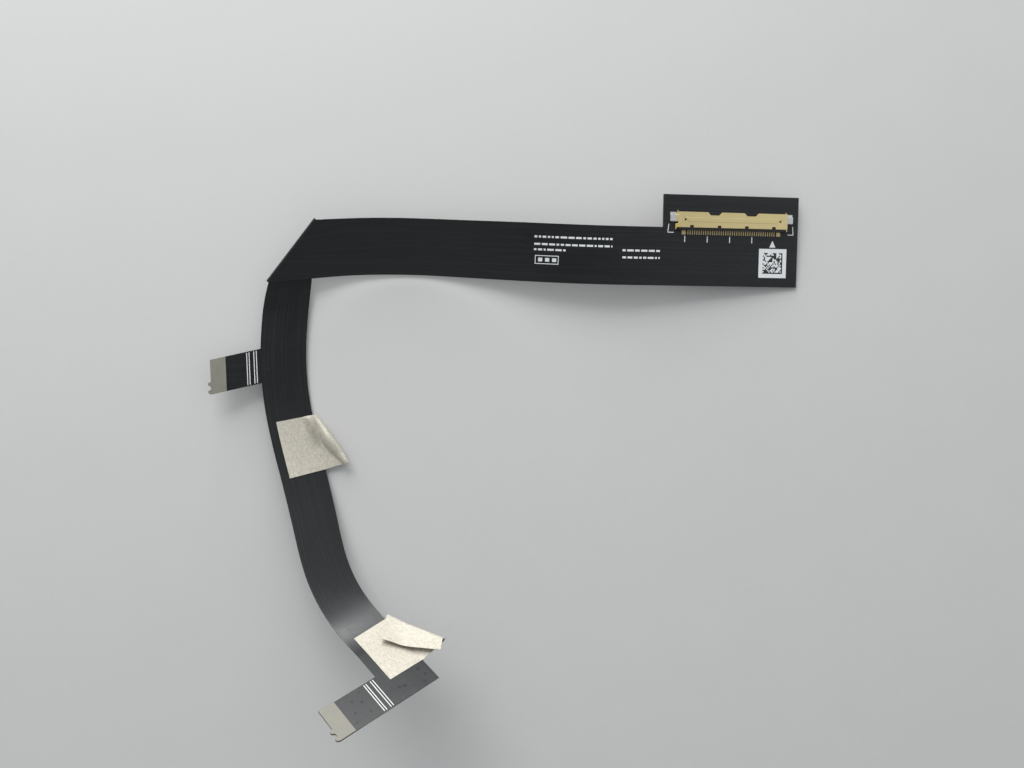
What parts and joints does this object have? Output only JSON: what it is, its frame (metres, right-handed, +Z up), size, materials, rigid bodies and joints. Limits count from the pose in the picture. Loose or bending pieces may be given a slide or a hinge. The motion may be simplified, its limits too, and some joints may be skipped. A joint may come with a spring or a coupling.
{
  "type": "flat flex cable",
  "caption": "Folded flat flex cable: a long strip with a wide connector end, a crease, and a twisted arm with two plug-in tabs and two grounding tapes.",
  "frame": {"origin": "middle of the part's box, on the table that it lies on", "axes": "+X along the long strip towards the connector end, +Y across it away from the curled arm, +Z up from the table"},
  "size_m": [0.1282, 0.1038, 0.035],
  "materials": {
    "laminate": "satin black cover film",
    "board_plate": "matt glass-epoxy plate",
    "housing": "matt black moulding",
    "shell": "gold-plated sheet",
    "contact": "gold plating",
    "solder": "tinned",
    "label": "matt",
    "tab_plate": "satin film plate",
    "tape": "metallised woven cloth"
  },
  "bodies": {
    "root": {"flex_circuit": "laminate", "connector_stiffener": "board_plate", "connector_housing": "housing", "connector_shell": "shell", "connector_contacts": "contact", "hold_down_left": "solder", "hold_down_right": "solder", "label": "label", "side_tab_stiffener": "tab_plate", "side_tab_contacts": "contact", "lower_tab_stiffener": "tab_plate", "lower_tab_contacts": "contact", "upper_tape": "tape", "lower_tape": "tape"}
  },
  "joints": []
}
